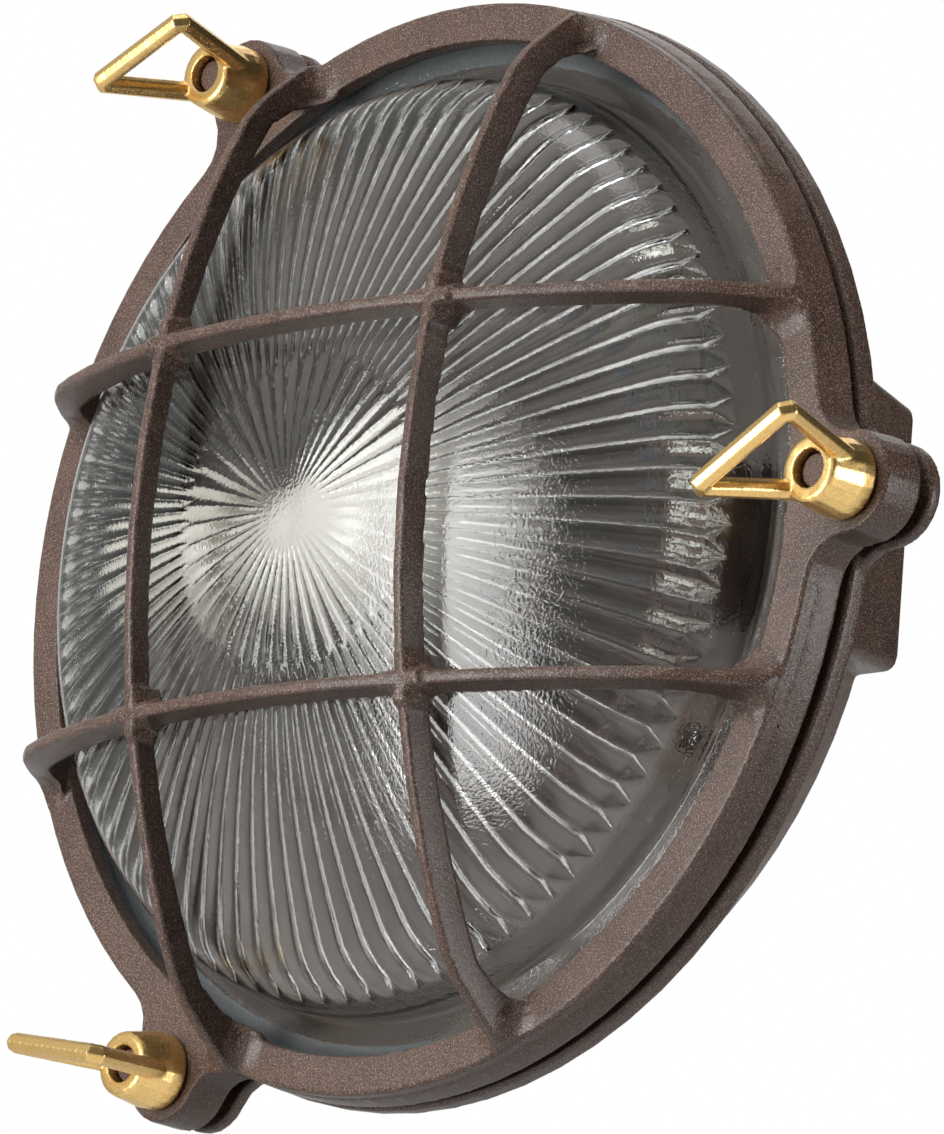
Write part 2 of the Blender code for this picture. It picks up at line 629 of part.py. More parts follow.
def make_bracket(parts, tools, looks):
    """Angle bracket from the housing's pads up to the back of the holder."""
    face = HOLDER_BACK - CLEAR
    back = face - BRACKET_T
    low = FLOOR_T + PAD_H + CLEAR
    bracket = box("holder_bracket", (back, -LAMP_AXIS - BRACKET_ABOVE, -BRACKET_HALF), (face, -low, BRACKET_HALF),
                  parts, looks["steel"])
    join(bracket, box("bracket_foot", (back + 0.2 * MM, -low - BRACKET_T, 0.1 * MM - BRACKET_HALF),
                      (face + BRACKET_FOOT, -low + 0.02 * MM, BRACKET_HALF - 0.1 * MM), tools))
    for number, (x, z) in enumerate(bracket_screw_places(), 1):
        hole = rod("bracket_hole", SCREW_R + CLEAR, -low - 3 * MM, -low + MM, tools)
        cut(bracket, move(hole, x, 0, z))
        screw(f"bracket_screw_{number}", (x, z), low + BRACKET_T + CLEAR, 2.2 * MM, SCREW_R, parts, looks["zinc"])
    body = bpy.data.objects["lampholder_body"]
    for number, side in enumerate((-1, 1), 1):
        hole = rod("holder_hole", 1.5 * MM + CLEAR, back - MM, HOLDER_BACK + 5.5 * MM, tools, along="X")
        fixing = turned(f"holder_screw_{number}", [
            (0, back - 2.1 * MM), (2.0 * MM, back - 2.1 * MM), (3.0 * MM, back - 1.2 * MM), (3.0 * MM, back - CLEAR),
            (1.5 * MM, back - CLEAR), (1.5 * MM, HOLDER_BACK + 5 * MM), (0, HOLDER_BACK + 5 * MM)],
            parts, looks["zinc"], 14, "X")
        for obj in (hole, fixing):
            move(obj, 0, -LAMP_AXIS, side * 8.0 * MM)
        cut(bracket, hole)
        cut(body, hole)


def screw(name, place, seat, end, radius, where, look):
    """A pan-head screw that points at the wall, from its seat down to its end."""
    head, height = radius * 1.8, radius * 1.1
    made = turned(name, [
        (0, -seat - height), (head * 0.65, -seat - height), (head, -seat - height * 0.4), (head, -seat),
        (radius, -seat), (radius, -end), (0, -end)], where, look, 14)
    return move(made, place[0], 0, place[1])


def make_terminals(parts, tools, looks):
    """Three-pole terminal block, and the earth point beside it."""
    seat = FLOOR_T + PAD_H + CLEAR
    front = seat + BLOCK_H
    low = (BLOCK_X - BLOCK_W / 2, -front, -BLOCK_L / 2)
    high = (BLOCK_X + BLOCK_W / 2, -seat, BLOCK_L / 2)
    block = box("terminal_block", low, high, parts, looks["phenolic"], 0.8 * MM)
    for number, pole in enumerate((-1, 0, 1), 1):
        z = pole * POLE_PITCH
        half, wide, deep = POLE_L / 2, POLE_W / 2, 5.0 * MM
        slot = box("pole_slot", (BLOCK_X - half - CLEAR, -front - MM, z - wide - CLEAR),
                   (BLOCK_X + half + CLEAR, -front + deep, z + wide + CLEAR), tools)
        cut(block, slot)
        bar = box(f"terminal_pole_{number}", (BLOCK_X - half, -front + 1.5 * MM, z - wide),
                  (BLOCK_X + half, -front + deep - CLEAR, z + wide), parts, looks["brass"])
        for side in (-1, 1):
            head = rod("pole_screw", 1.9 * MM, -front, -front + 2.5 * MM, tools, steps=12)
            join(bar, move(head, BLOCK_X + side * POLE_L / 4, 0, z))
    for number, (x, z) in enumerate(block_screw_places(), 1):
        hole = rod("block_hole", BLOCK_SCREW_R + CLEAR, -front - MM, -seat + MM, tools, steps=12)
        cut(block, move(hole, x, 0, z))
        screw(f"block_screw_{number}", (x, z), front + CLEAR, 2.2 * MM, BLOCK_SCREW_R, parts, looks["zinc"])
    washer = turned("earth_washer", [
        (SCREW_R + CLEAR, -seat), (5.0 * MM, -seat), (5.0 * MM, -seat - WASHER_T),
        (SCREW_R + CLEAR, -seat - WASHER_T)], parts, looks["brass"])
    move(washer, EARTH_X, 0, EARTH_Z)
    screw("earth_screw", (EARTH_X, EARTH_Z), seat + WASHER_T + CLEAR, 2.2 * MM, SCREW_R, parts, looks["brass"])


def make_grommet(parts, look):
    """Rubber bush in the housing's floor, with one lip on the inside."""
    lip = FLOOR_T + 1.2 * MM + CLEAR
    top = lip + 1.6 * MM
    neck = ENTRY_R - CLEAR
    grommet = turned("cable_grommet", [
        (3.6 * MM, -0.5 * MM), (neck, -0.5 * MM), (neck, -lip), (ENTRY_R + 2.4 * MM, -lip),
        (ENTRY_R + 2.4 * MM, -top), (5.4 * MM, -top - 1.6 * MM), (3.6 * MM, -top - 1.6 * MM)],
        parts, look, 24)
    return move(grommet, ENTRY_X, 0, ENTRY_Z)


def smooth_route(places, count):
    """Points along a Catmull-Rom curve through a few places."""
    pts = [Vector(p) * MM for p in places]
    pts = [pts[0] * 2 - pts[1]] + pts + [pts[-1] * 2 - pts[-2]]
    route = []
    spans = len(pts) - 3
    for i in range(count + 1):
        s = min(i * spans / count, spans - 1e-6)
        k = int(s)
        u = s - k
        a, b, c, d = pts[k:k + 4]
        route.append(0.5 * ((2 * b) + (c - a) * u + (2 * a - 5 * b + 4 * c - d) * u ** 2 +
                            (3 * b - a - 3 * c + d) * u ** 3))
    return route


def make_wires(parts, looks):
    """Insulated wires from the terminals to the holder and to the earth point."""
    run = [(38, -8, 33), (10, -7, 46), (-30, -7.5, 45), (-58, -11, 36), (-71, -19, 29), (-72, -24.5, 23.4),
           (-72, -27.35, 18.45)]
    live = [(57.1, -11, -10.8), (53.5, -11, -11.2), (48, -9.5, -18)] + [(x, y, -z) for x, y, z in run]
    neutral = [(57.1, -11, 0), (53.5, -11, 0.5), (47, -9.5, 11)] + run
    earth = [(57.1, -11, 10.8), (54, -11, 11.2), (50, -9, 22), (47, -8, 36), (45.5, -8.1, 46), (46.3, -8.4, 50.9)]
    routes = {"wire_live": (live, 24, "brown"), "wire_neutral": (neutral, 24, "blue"),
              "wire_earth": (earth, 14, "green")}
    for name, (places, count, look) in routes.items():
        tube(name, smooth_route(places, count), WIRE_R, parts, looks[look])


def main():
    reset_scene()
    parts, tools = collection("bulkhead_light"), collection("tools")
    looks = {
        "coat": material("brown_powder_coat", (0.075, 0.048, 0.040), 0.0, 0.6),
        "brass": material("cast_brass", (0.68, 0.47, 0.17), 1.0, 0.3),
        "glass": material("pressed_glass", (0.80, 0.86, 0.84), 0.0, 0.05, 0.35),
        "rubber": material("black_rubber", (0.02, 0.022, 0.025), 0.0, 0.7),
        "porcelain": material("white_porcelain", (0.80, 0.78, 0.72), 0.0, 0.2),
        "phenolic": material("dark_phenolic", (0.035, 0.022, 0.016), 0.0, 0.35),
        "zinc": material("zinc_plated_steel", (0.60, 0.60, 0.58), 1.0, 0.35),
        "steel": material("galvanised_steel", (0.55, 0.56, 0.57), 1.0, 0.45),
        "opal": material("opal_glass", (0.88, 0.87, 0.82), 0.0, 0.3),
        "brown": material("brown_insulation", (0.10, 0.04, 0.02), 0.0, 0.5),
        "blue": material("blue_insulation", (0.03, 0.12, 0.40), 0.0, 0.5),
        "green": material("green_insulation", (0.08, 0.35, 0.08), 0.0, 0.5),
    }
    make_housing(parts, tools, looks["coat"])
    make_guard(parts, tools, looks["coat"])
    make_glass(parts, tools, looks["glass"])
    make_gasket(parts, looks["rubber"])
    make_studs(parts, looks["coat"])
    make_nuts(parts, tools, looks["brass"])
    make_lamp(parts, looks["opal"])
    make_holder(parts, looks)
    make_bracket(parts, tools, looks)
    make_terminals(parts, tools, looks)
    make_grommet(parts, looks["rubber"])
    make_wires(parts, looks)


main()
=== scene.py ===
# Bulkhead light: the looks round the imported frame. Metres, +Z up, the light faces -Y.
import json
from math import asin, atan2, cos, degrees, hypot, pi, radians, sin, sqrt

import bmesh
import bpy
import numpy as np
from mathutils import Matrix, Vector

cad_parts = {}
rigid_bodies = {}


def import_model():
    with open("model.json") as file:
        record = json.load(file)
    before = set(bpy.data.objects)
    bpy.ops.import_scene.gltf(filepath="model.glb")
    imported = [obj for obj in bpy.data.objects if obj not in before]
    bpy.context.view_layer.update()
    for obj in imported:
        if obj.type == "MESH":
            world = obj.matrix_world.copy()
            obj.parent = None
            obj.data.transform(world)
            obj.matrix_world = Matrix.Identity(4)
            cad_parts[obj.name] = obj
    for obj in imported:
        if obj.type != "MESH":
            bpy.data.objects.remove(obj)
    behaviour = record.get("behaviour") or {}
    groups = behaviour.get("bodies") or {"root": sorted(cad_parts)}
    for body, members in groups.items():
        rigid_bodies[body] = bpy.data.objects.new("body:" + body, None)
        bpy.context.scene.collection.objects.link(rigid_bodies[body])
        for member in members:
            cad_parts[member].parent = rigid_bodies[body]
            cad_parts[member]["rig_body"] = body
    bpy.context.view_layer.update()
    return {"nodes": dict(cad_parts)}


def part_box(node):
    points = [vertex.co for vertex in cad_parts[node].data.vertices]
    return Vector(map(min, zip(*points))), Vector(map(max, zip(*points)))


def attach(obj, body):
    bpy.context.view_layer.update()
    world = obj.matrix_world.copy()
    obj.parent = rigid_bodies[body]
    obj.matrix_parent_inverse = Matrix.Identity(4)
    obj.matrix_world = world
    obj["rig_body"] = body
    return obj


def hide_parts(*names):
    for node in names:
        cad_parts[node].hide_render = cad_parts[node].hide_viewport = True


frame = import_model()
mm = 0.001
print("frame loaded:", len(frame["nodes"]), "nodes")


def hexColour(code):
    parts = [int(code[i:i + 2], 16) / 255 for i in (1, 3, 5)]
    return [c / 12.92 if c <= 0.04045 else ((c + 0.055) / 1.055) ** 2.4 for c in parts] + [1.0]


def addNode(tree, kind, settings=None, links=None):
    # settings are properties or inputs by name or number, links are inputs to other nodes' outputs
    node = tree.nodes.new(kind)
    for key, value in (settings or {}).items():
        if isinstance(key, str) and hasattr(node, key):
            setattr(node, key, value)
        else:
            node.inputs[key].default_value = value
    for key, output in (links or {}).items():
        tree.links.new(output, node.inputs[key])
    return node


def newMaterial(name):
    material = bpy.data.materials.new(name)
    material.use_nodes = True
    tree = material.node_tree
    tree.nodes.clear()
    return material, tree


def finishMaterial(tree, shader):
    addNode(tree, "ShaderNodeOutputMaterial", {}, {"Surface": shader.outputs[0]})


def perSize(size):
    # texture scale for a pattern whose marks are this many millimetres apart
    return 1 / (size * mm)


def noise(tree, place, size, detail=2.0, rough=0.5):
    settings = {"Scale": perSize(size), "Detail": detail, "Roughness": rough}
    return addNode(tree, "ShaderNodeTexNoise", settings, {"Vector": place}).outputs["Fac"]


def cells(tree, place, size):
    settings = {"feature": "SMOOTH_F1", "Scale": perSize(size)}
    return addNode(tree, "ShaderNodeTexVoronoi", settings, {"Vector": place}).outputs["Distance"]


def stretch(tree, value, low, high, toLow=0.0, toHigh=1.0):
    settings = {"From Min": low, "From Max": high, "To Min": toLow, "To Max": toHigh}
    return addNode(tree, "ShaderNodeMapRange", settings, {"Value": value}).outputs[0]


def blendColours(tree, amount, first, second):
    # first and second are hex colours or colour outputs
    settings, links = {"data_type": "RGBA"}, {0: amount}
    for slot, colour in ((6, first), (7, second)):
        if isinstance(colour, str):
            settings[slot] = hexColour(colour)
        else:
            links[slot] = colour
    return addNode(tree, "ShaderNodeMix", settings, links).outputs[2]


def bump(tree, height, depth, after=None):
    # depth in mm, on top of the bump that comes before it
    links = {"Height": height}
    if after:
        links["Normal"] = after
    settings = {"Strength": 1.0, "Distance": depth * mm}
    return addNode(tree, "ShaderNodeBump", settings, links).outputs["Normal"]


# Powder coat on cast aluminium, sprayed dry and baked: a satin brown skin, leathery at under a
# millimetre, with fine paler grains that catch the light. Sizes and depths in mm
powderCoat = {"colour": "#5e463a", "dark": "#37261f", "grain": "#9d877b", "roughness": 0.35,
              "cell": 0.75, "grainSize": 0.36, "cloud": 9.0, "cellDepth": 0.05, "grainDepth": 0.09}
# Inside the housing a darker copy of the coat is painted shade, for the deep hollow behind the lens
paintedShadeCoat = dict(powderCoat, colour="#463a30", dark="#2f2721", grain="#6c6055")


def makePowderCoat(name, coat):
    material, tree = newMaterial(name)
    place = addNode(tree, "ShaderNodeTexCoord").outputs["Object"]
    leather = cells(tree, place, coat["cell"])
    fine = noise(tree, place, coat["grainSize"], 1.0, 0.6)
    cloud = noise(tree, place, coat["cloud"])
    base = blendColours(tree, stretch(tree, cloud, 0.3, 0.7, 0.35, 1.0), coat["dark"], coat["colour"])
    base = blendColours(tree, stretch(tree, leather, 0.2, 0.75, 0.0, 0.55), base, coat["dark"])
    base = blendColours(tree, stretch(tree, fine, 0.30, 0.48, 0.6, 0.0), base, coat["dark"])
    base = blendColours(tree, stretch(tree, fine, 0.53, 0.68, 0.0, 0.85), base, coat["grain"])
    normal = bump(tree, leather, coat["cellDepth"])
    normal = bump(tree, fine, coat["grainDepth"], normal)
    shader = addNode(tree, "ShaderNodeBsdfPrincipled", {"Roughness": coat["roughness"], "IOR": 1.5},
                     {"Base Color": base, "Normal": normal})
    finishMaterial(tree, shader)
    return material


# Sand-cast yellow brass, tumbled bright: warm gold with soft ripples, tiny pits and worn high spots
castBrass = {"colour": "#f6d08a", "dull": "#e2b869", "roughness": 0.27,
             "ripple": 4.0, "rippleDepth": 0.16, "pit": 0.6, "pitDepth": 0.008}


def makeCastBrass():
    material, tree = newMaterial("castBrass")
    place = addNode(tree, "ShaderNodeTexCoord").outputs["Object"]
    ripple = noise(tree, place, castBrass["ripple"], 1.0)
    pits = noise(tree, place, castBrass["pit"], 3.0, 0.6)
    base = blendColours(tree, stretch(tree, pits, 0.3, 0.5), castBrass["dull"], castBrass["colour"])
    rough = stretch(tree, pits, 0.3, 0.6, castBrass["roughness"] + 0.1, castBrass["roughness"])
    normal = bump(tree, ripple, castBrass["rippleDepth"])
    normal = bump(tree, stretch(tree, pits, 0.25, 0.45), castBrass["pitDepth"], normal)
    shader = addNode(tree, "ShaderNodeBsdfPrincipled", {"Metallic": 1.0},
                     {"Base Color": base, "Roughness": rough, "Normal": normal})
    finishMaterial(tree, shader)
    return material


# Pressed soda glass: clear, its skin lightly hammered by the mould, so that the edges of what it
# mirrors break into sparkles. Outside and inside are the size and depth of its marks in mm. What
# lights the housing comes through it straight, a little dimmed by the ribs
pressedGlass = {"colour": "#f7f8f7", "letsIn": "#ebebeb",
                "outside": ((0.7, 0.075), (2.6, 0.035)), "inside": ((1.4, 0.04), (4.0, 0.03))}


def makePressedGlass(name, marks):
    material, tree = newMaterial(name)
    place = addNode(tree, "ShaderNodeTexCoord").outputs["Object"]
    normal = None
    for size, depth in marks:
        normal = bump(tree, noise(tree, place, size, 1.0), depth, normal)
    glass = addNode(tree, "ShaderNodeBsdfPrincipled", {
        "Base Color": hexColour(pressedGlass["colour"]), "Roughness": 0.0, "IOR": 1.5,
        "Transmission Weight": 1.0}, {"Normal": normal})
    clear = addNode(tree, "ShaderNodeBsdfTransparent", {"Color": hexColour(pressedGlass["letsIn"])})
    path = addNode(tree, "ShaderNodeLightPath")
    lamp = addNode(tree, "ShaderNodeMath", {"operation": "MAXIMUM"},
                   {0: path.outputs["Is Shadow Ray"], 1: path.outputs["Is Diffuse Ray"]}).outputs[0]
    both = addNode(tree, "ShaderNodeMixShader", {}, {0: lamp, 1: glass.outputs[0], 2: clear.outputs[0]})
    finishMaterial(tree, both)
    return material


def makePlain(name, colour, other, size, roughness, metallic=0.0, depth=0.0):
    # a finish with a soft change between two colours and a fine bump
    material, tree = newMaterial(name)
    place = addNode(tree, "ShaderNodeTexCoord").outputs["Object"]
    mark = noise(tree, place, size, 3.0, 0.6)
    base = blendColours(tree, stretch(tree, mark, 0.35, 0.65), colour, other)
    shader = addNode(tree, "ShaderNodeBsdfPrincipled", {"Roughness": roughness, "Metallic": metallic},
                     {"Base Color": base, "Normal": bump(tree, mark, depth)})
    finishMaterial(tree, shader)
    return material


looks = {
    "coat": makePowderCoat("brownPowderCoat", powderCoat),
    # a darker copy of the coat, painted shade for inside the housing
    "paintedShadeInside": makePowderCoat("paintedShadePowderCoat", paintedShadeCoat),
    "brass": makeCastBrass(),
    "glassOut": makePressedGlass("pressedGlass", pressedGlass["outside"]),
    "glassIn": makePressedGlass("pressedGlassInside", pressedGlass["inside"]),
    # moulded black rubber: dark slate where light grazes it
    "rubber": makePlain("mouldedRubber", "#33383b", "#3d4346", 1.5, 0.55, 0.0, 0.02),
    # opal glass: milky white, softly glossy
    "opal": makePlain("opalGlass", "#f8f6ef", "#f4f1e8", 20.0, 0.25, 0.0, 0.01),
    # glazed porcelain: white with a slight cream cast, glossy
    "porcelain": makePlain("glazedPorcelain", "#ebe7dc", "#e4dfd2", 12.0, 0.15, 0.0, 0.02),
    # brown rubber bush, matt
    "bush": makePlain("brownRubber", "#54453d", "#5b4a41", 1.5, 0.6, 0.0, 0.02),
    # moulded phenolic: plain brown, dully glossy
    "phenolic": makePlain("mouldedPhenolic", "#59483f", "#5e4c42", 5.0, 0.4, 0.0, 0.01),
    # zinc-plated screws: pale silver
    "zinc": makePlain("zincPlatedSteel", "#c9c8c3", "#b5b4af", 1.2, 0.32, 1.0, 0.01),
    # hot-dip galvanised sheet: pale grey with faint spangle
    "steel": makePlain("galvanisedSteel", "#bfc1c1", "#a9acad", 6.0, 0.42, 1.0, 0.01),
    # PVC insulation on the wires: satin colours
    "brown": makePlain("brownInsulation", "#4a2a1b", "#50301f", 4.0, 0.45, 0.0, 0.01),
    "blue": makePlain("blueInsulation", "#2c3845", "#31404f", 4.0, 0.45, 0.0, 0.01),
    "green": makePlain("greenInsulation", "#3d4a38", "#46523e", 5.0, 0.45, 0.0, 0.01),
}
print("materials made:", len(looks))


def addPiece(name, mesh, finish, body, replaced=()):
    piece = bpy.data.objects.new(name, mesh)
    bpy.context.scene.collection.objects.link(piece)
    mesh.materials.clear()
    for material in finish:
        mesh.materials.append(material)
    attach(piece, body)
    if replaced:
        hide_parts(*replaced)


def evaluated(piece):
    bpy.context.view_layer.update()
    return bpy.data.meshes.new_from_object(piece.evaluated_get(bpy.context.evaluated_depsgraph_get()))


def bodyOf(node):
    return frame["nodes"][node]["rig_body"]


# Castings: each CAD solid copied and given the soft edges and corners of a cast and coated piece.
# Voxel in mm, smooth is the number of passes, faces the most triangles
castings = {
    "front_guard": {"voxel": 0.5, "smooth": 2, "faces": 190000, "look": ["coat"],
                    "slot": "brown_powder_coat"},
    # the housing's second look is the darker coat painted as shade on its inside
    "rear_housing": {"voxel": 0.62, "smooth": 3, "faces": 180000, "look": ["coat", "paintedShadeInside"],
                     "slot": "brown_powder_coat"},
}
for number in (1, 2, 3):
    castings[f"wing_nut_{number}"] = {"voxel": 0.3, "smooth": 3, "faces": 60000, "look": ["brass"],
                                      "slot": "cast_brass"}


# The guard's ring and bars as in the CAD model, sizes in mm, levels in front of the wall. A bar is
# the axis that it is off the middle along, 0 for X and 2 for Z, and how far off
guard = {"face": 41.0, "ring": 125.2, "edge": 0.9, "mouth": 108.0, "lugs": (0, 120, 240), "lugHalf": 9.6,
         "bars": ((0, -43.5), (0, 42.75), (2, -42.75), (2, 42.75)), "ridge": 1.35, "draft": 0.158,
         "foot": 117.7, "footRun": 12.0, "step": 2.5, "slope": 1.2, "fillet": 7.0, "high": 6.0, "gap": 0.6,
         "fall": 2.2, "web": 14.0, "clearOfRing": 8.0, "none": 99.0}


def lowerFillets(place, level):
    # where two bars cross, the fillets between them run below the two ridges
    none, half = guard["none"], int(guard["ring"])
    aloft = level > guard["face"] + guard["clearOfRing"]
    allowed = np.full(len(level), -none)
    close = {0: np.full(len(level), none), 2: np.full(len(level), none)}
    for axis, offset in guard["bars"]:
        along, off = place[:, 2 - axis], np.abs(place[:, axis] - offset)
        onRidge = (off < guard["ridge"]) & aloft
        top = np.full(2 * half + 1, -none)
        np.maximum.at(top, np.round(along[onRidge]).astype(int) + half, level[onRidge])
        known = np.flatnonzero(top > 0)
        line = np.interp(along, known - half, top[known])
        allowed = np.maximum(allowed, line - guard["fall"] * np.clip(off - guard["ridge"], 0, none))
        close[axis] = np.minimum(close[axis], off)
    crossing = (close[0] < guard["web"]) & (close[2] < guard["web"])
    return np.where(crossing & aloft, np.minimum(level, allowed), level)


def lowerFeet(place, level, radius):
    # on the ring, the fillet of each bar's foot fades out beside the bar
    allowed = np.zeros(len(level))
    for axis, offset in guard["bars"]:
        over = np.clip(guard["foot"] - np.abs(place[:, 2 - axis]), 0, guard["footRun"])
        side = guard["ridge"] + guard["draft"] * (guard["step"] + guard["slope"] * over)
        beside = np.abs(place[:, axis] - offset) - side
        fillet = guard["high"] * (1 - np.clip(beside / guard["fillet"], 0, 1)) ** 2
        allowed = np.maximum(allowed, np.where(beside > guard["gap"], fillet, guard["none"]))
    rise = level - guard["face"]
    onRing = (radius > guard["mouth"] + 2) & (rise > 0)
    return np.where(onRing, guard["face"] + np.minimum(rise, allowed), level)


def ringShrink(place, level, radius):
    # what stands past the ring's rounded outer edge is drawn in to it, apart from the lugs
    angle = np.degrees(np.arctan2(place[:, 2], place[:, 0]))
    free = np.ones(len(level), bool)
    for lug in guard["lugs"]:
        free &= np.abs((angle - lug + 180) % 360 - 180) > guard["lugHalf"]
    edge = guard["edge"]
    up = np.clip((level - guard["face"] + edge) / edge, 0, 1)
    limit = guard["ring"] - edge * (1 - np.sqrt(1 - up ** 2)) * 0.6
    past = free & (level > guard["face"] - 4) & (radius > limit)
    return np.where(past, limit / radius, 1.0)


def trimGuard(mesh):
    flat = np.empty(len(mesh.vertices) * 3)
    mesh.vertices.foreach_get("co", flat)
    place = flat.reshape(-1, 3) / mm
    radius = np.hypot(place[:, 0], place[:, 2])
    level = lowerFeet(place, lowerFillets(place, -place[:, 1]), radius)
    shrink = ringShrink(place, level, radius)
    place[:, 0] *= shrink
    place[:, 2] *= shrink
    place[:, 1] = -level
    mesh.vertices.foreach_set("co", (place * mm).ravel())


# Where the housing is open to its lens, and where its inside coat is painted darker as shade, sizes in mm
inside = {"radius": 112.0, "floor": 2.0, "flange": 34.0}


def paintedShadeInside(mesh):
    # the second finish, a darker copy of the coat painted as shade, goes on the faces that look into the
    # housing
    for face in mesh.polygons:
        x, y, z = face.center / mm
        radius = hypot(x, z)
        inward = -(face.normal.x * x + face.normal.z * z) / max(radius, 1)
        within = radius < inside["radius"] and inside["floor"] < -y < inside["flange"]
        if within and (face.normal.y < -0.3 or inward > 0.5):
            face.material_index = 1


def softenCasting(node, plan):
    bm = bmesh.new()
    bm.from_mesh(frame["nodes"][node].data)
    bmesh.ops.remove_doubles(bm, verts=bm.verts, dist=0.005 * mm)
    mesh = bpy.data.meshes.new(node + "_cast")
    bm.to_mesh(mesh)
    bm.free()
    work = bpy.data.objects.new(node + "_work", mesh)
    bpy.context.scene.collection.objects.link(work)
    remesh = work.modifiers.new("voxels", "REMESH")
    remesh.mode = "VOXEL"
    remesh.voxel_size = plan["voxel"] * mm
    soften = work.modifiers.new("soften", "SMOOTH")
    soften.factor = 0.5
    soften.iterations = plan["smooth"]
    done = evaluated(work)
    if node == "front_guard":
        trimGuard(done)
    triangles = len(done.polygons) * 2
    if triangles > plan["faces"]:
        work.modifiers.clear()
        work.data = done
        thin = work.modifiers.new("thin", "DECIMATE")
        thin.ratio = plan["faces"] / triangles
        done = evaluated(work)
    bpy.data.objects.remove(work)
    done.shade_smooth()
    finish = [looks[name] for name in plan["look"]]
    addPiece(node + "_cast", done, finish, bodyOf(node), [node])
    # the housing's inside faces take the darker coat, painted shade
    if node == "rear_housing":
        paintedShadeInside(done)


for node, plan in castings.items():
    softenCasting(node, plan)
    print("casting:", node)


# Lens, sizes in mm and degrees. Levels are in front of the wall, radii to the outer surface. A
# turn is the place on the inner shoulder: 0 is level with its centre, 90 is its top. Depths are
# shares of the flutes' pitch, and across is where each flute has points, as shares of its half
lens = {"rise": 39.8, "face": 41.0, "domeDrop": 27.3, "root": 107.5, "shoulder": 24.5, "thick": 4.2,
        "rim": 119.3, "rimBack": 31.6, "rimFront": 35.6, "rimEdge": 0.6,
        "flutes": 90, "depth": 0.22, "crest": 0.1, "start": 6.0, "full": 14.0,
        "split": 34.0, "splitEnd": 39.0, "innerShare": 0.85,
        "tipStart": 31.0, "tipEnd": 15.3, "tipNarrow": 0.12,
        "across": (-1, -0.93, -0.86, -0.6, -0.3, 0, 0.3, 0.6, 0.86, 0.93)}


def domeForm():
    # radius and centre of the cap, centre of the shoulder's arc and where they meet
    arc = (lens["root"] ** 2 + lens["domeDrop"] ** 2) / (2 * lens["domeDrop"])
    centre = lens["face"] + lens["rise"] - arc
    side = lens["root"] - lens["shoulder"]
    reach = arc - lens["shoulder"]
    level = centre + sqrt(reach ** 2 - side ** 2)
    return arc, centre, side, level, degrees(atan2(level - centre, side))


def domeRows(inset, capRadii, turns):
    # rows of (radius, level, outward in radius, outward in level, turn) down the dome, set in from
    # its outside
    arc, centre, side, level, meet = domeForm()
    rows = []
    for r in capRadii:
        out = r / (arc - inset)
        rows.append((r, centre + sqrt((arc - inset) ** 2 - r ** 2), out, sqrt(1 - out ** 2), 90))
    bend = lens["shoulder"] - inset
    for turn in turns:
        c, q = cos(radians(turn)), sin(radians(turn))
        rows.append((side + bend * c, level + bend * q, c, q, turn))
    return rows


def easeBetween(value, low, high):
    t = min(1.0, max(0.0, (value - low) / (high - low)))
    return t * t * (3 - 2 * t)


def spread(low, high, count):
    return [low + (high - low) * k / count for k in range(count)]


def arch(share):
    # a flute's section, 0 at its two edges, 1 in its middle, with the crests between flutes rounded
    edge = lens["crest"]
    bend = (1 - edge) / edge
    low = 1 - (1 - edge) ** 2 - bend * edge ** 2
    gap = 1 - abs(share)
    return low + bend * gap ** 2 if gap < edge else 1 - share ** 2


def tipHalf(turn):
    # half width of a flute as a share of its pitch, which runs out to nothing at its pointed end
    t = (lens["tipStart"] - turn) / (lens["tipStart"] - lens["tipEnd"])
    return 1 - min(1.0, max(0.0, t))


def fluteDepth(r, number, share, turn):
    # how far a rib stands in from the glass, share from -1 to 1 across it. Near the middle every
    # second rib is left out and the others are twice as wide
    pitch = 2 * pi * r / lens["flutes"]
    half = tipHalf(turn)
    if half < 1:
        return lens["depth"] * pitch * half * max(0.0, 1 - (share / max(half, 0.01)) ** 2)
    wide = lens["innerShare"] * arch(share / 2 if number % 2 == 0 else 1 - abs(share) / 2)
    mix = easeBetween(r, lens["split"], lens["splitEnd"])
    deep = lens["depth"] * pitch * (mix * arch(share) + (1 - mix) * wide)
    return deep * easeBetween(r, lens["start"], lens["full"])


def lensRows():
    # rows as domeRows gives them, from the middle down the outside, round the rim and back up the
    # inside, with turn None where no flutes are, and how many of them are outside
    side, level, meet = domeForm()[2:]
    outerMeet = side + lens["shoulder"] * cos(radians(meet))
    innerMeet = side + (lens["shoulder"] - lens["thick"]) * cos(radians(meet))
    cap = [0.4] + spread(4, outerMeet, 14)
    rows = [row[:4] + (None,) for row in domeRows(0, cap, spread(meet, 0, 13) + [1.2])]
    root, edge, rim = lens["root"], lens["rimEdge"], lens["rim"]
    front, back, wall = lens["rimFront"], lens["rimBack"], root - lens["thick"]
    outerRim = [(root, level - 0.4), (root, front + 1.2), (root + 0.3, front + 0.5),
                (root + 0.9, front + 0.08), (root + 1.6, front), (rim - edge, front),
                (rim, front - edge), (rim, back + edge), (rim - edge, back)]
    innerRim = [(wall + 0.9, back), (wall, back + 0.9), (wall, level - 0.3)]
    outside = len(rows) + len(outerRim)
    rows += [(r, h, 1, 0, None) for r, h in outerRim + innerRim]
    tips = spread(lens["tipEnd"], lens["tipStart"], 12)
    shoulder = [0.5, 5, 10] + tips + [lens["tipStart"]] + spread(35, meet, 5)
    cap = [0.4, 4, 6, 8, 10, 12, 14, 20, 27, 34, 35.2, 36.5, 37.8] + spread(39, innerMeet, 5)
    rows += domeRows(lens["thick"], cap, shoulder[::-1])[::-1]
    return rows, outside


